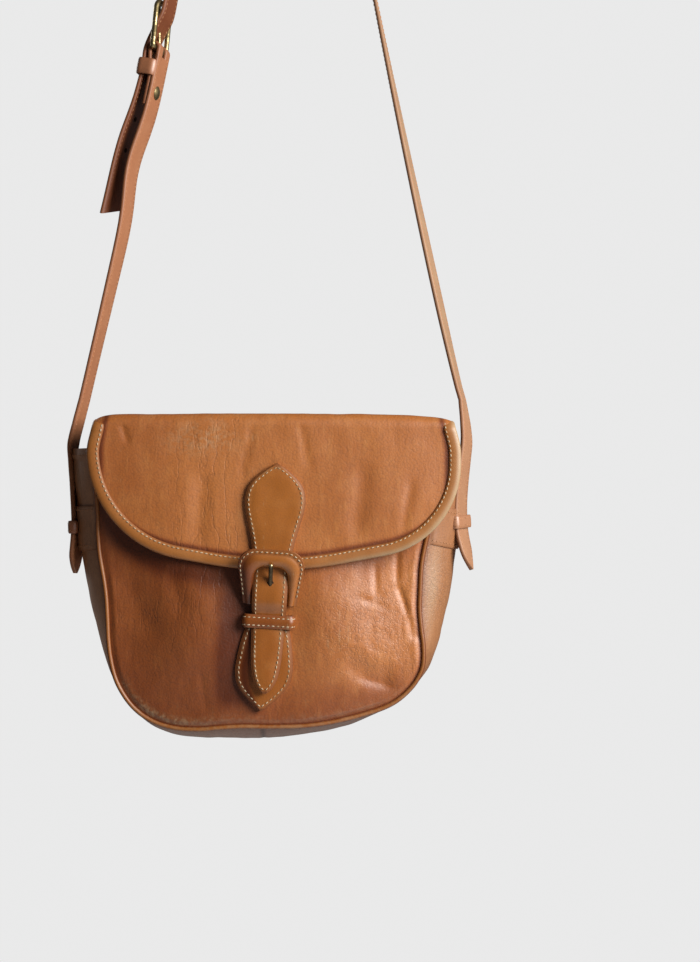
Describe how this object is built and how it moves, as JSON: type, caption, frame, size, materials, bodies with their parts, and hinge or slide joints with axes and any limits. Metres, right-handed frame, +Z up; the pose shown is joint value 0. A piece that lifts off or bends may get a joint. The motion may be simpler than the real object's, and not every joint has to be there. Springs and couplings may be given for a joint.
{
  "type": "saddle handbag",
  "caption": "Tan leather saddle handbag with a rounded flap, strap-and-buckle closure, piped gusset and a buckled shoulder strap, hanging by its strap.",
  "frame": {"origin": "hanging point: underside of the shoulder strap at its highest place, where a peg or hook carries it", "axes": "+Z up along the hanging strap, -Y out of the front with the flap and buckle, +X to the right of a viewer who faces the front"},
  "size_m": [0.27, 0.0934, 0.7864],
  "materials": {
    "pebbled_leather": "pebbled, semi-gloss, worn",
    "smooth_leather": "smooth, polished",
    "trim_leather": "smooth, worn",
    "strap_leather": "smooth, matt",
    "aged_brass": "tarnished",
    "dark_bronze": "dark, worn",
    "steel_core": "plain"
  },
  "bodies": {
    "strap": {"long_strap": "strap_leather", "short_strap": "strap_leather", "strap_buckle_keeper": "strap_leather", "strap_rivet": "aged_brass"},
    "bag": {"front_panel": "pebbled_leather", "back_panel": "pebbled_leather", "gusset_left": "pebbled_leather", "gusset_right": "pebbled_leather", "front_piping": "trim_leather", "back_piping": "trim_leather", "gusset_band_left": "pebbled_leather", "gusset_band_right": "pebbled_leather", "strap_end_left": "strap_leather", "strap_end_right": "strap_leather", "side_keeper_left": "strap_leather", "side_keeper_right": "strap_leather", "buckle_chape": "smooth_leather", "closure_keeper": "smooth_leather"},
    "flap_top": {"flap_top": "pebbled_leather", "flap_top_binding": "trim_leather"},
    "flap_front": {"flap_front": "pebbled_leather", "flap_binding": "trim_leather", "closure_billet": "smooth_leather"},
    "front_buckle": {"front_buckle_core": "steel_core", "front_buckle_cover": "smooth_leather"},
    "front_prong": {"front_buckle_prong": "dark_bronze"},
    "strap_buckle": {"strap_buckle_frame": "aged_brass"},
    "strap_prong": {"strap_buckle_prong": "aged_brass"}
  },
  "joints": [
    {"name": "bag_swing", "type": "hinge", "parent": "strap", "child": "bag", "pos_m": [0, 0, -0.599], "axis": [1, 0, 0], "range_deg": [-30, 15], "deforming": ["long_strap", "short_strap"]},
    {"name": "flap_open", "type": "hinge", "parent": "bag", "child": "flap_top", "pos_m": [0, 0.0435, -0.5796], "axis": [-1, 0, 0], "range_deg": [0, 100], "deforming": ["closure_billet"]},
    {"name": "flap_fold", "type": "hinge", "parent": "flap_top", "child": "flap_front", "pos_m": [0, -0.0335, -0.577], "axis": [-1, 0, 0], "range_deg": [0, 81]},
    {"name": "front_buckle_tilt", "type": "hinge", "parent": "bag", "child": "front_buckle", "pos_m": [-0.00256, -0.03448, -0.6988], "axis": [0.9983, 0, -0.0579], "range_deg": [0, 60]},
    {"name": "front_prong_tilt", "type": "hinge", "parent": "front_buckle", "child": "front_prong", "pos_m": [-0.00256, -0.03448, -0.6988], "axis": [0.9983, 0, -0.0579], "range_deg": [0, 45]},
    {"name": "strap_buckle_tilt", "type": "hinge", "parent": "strap", "child": "strap_buckle", "pos_m": [-0.0786, 0, -0.333], "axis": [-0.2327, -0.9714, 0.0471], "range_deg": [0, 60]},
    {"name": "strap_prong_tilt", "type": "hinge", "parent": "strap_buckle", "child": "strap_prong", "pos_m": [-0.0786, 0, -0.333], "axis": [-0.2327, -0.9714, 0.0471], "range_deg": [0, 50]}
  ],
  "couplings": [
    {"joint": "flap_fold", "follows": "flap_open", "ratio": 0.8}
  ]
}
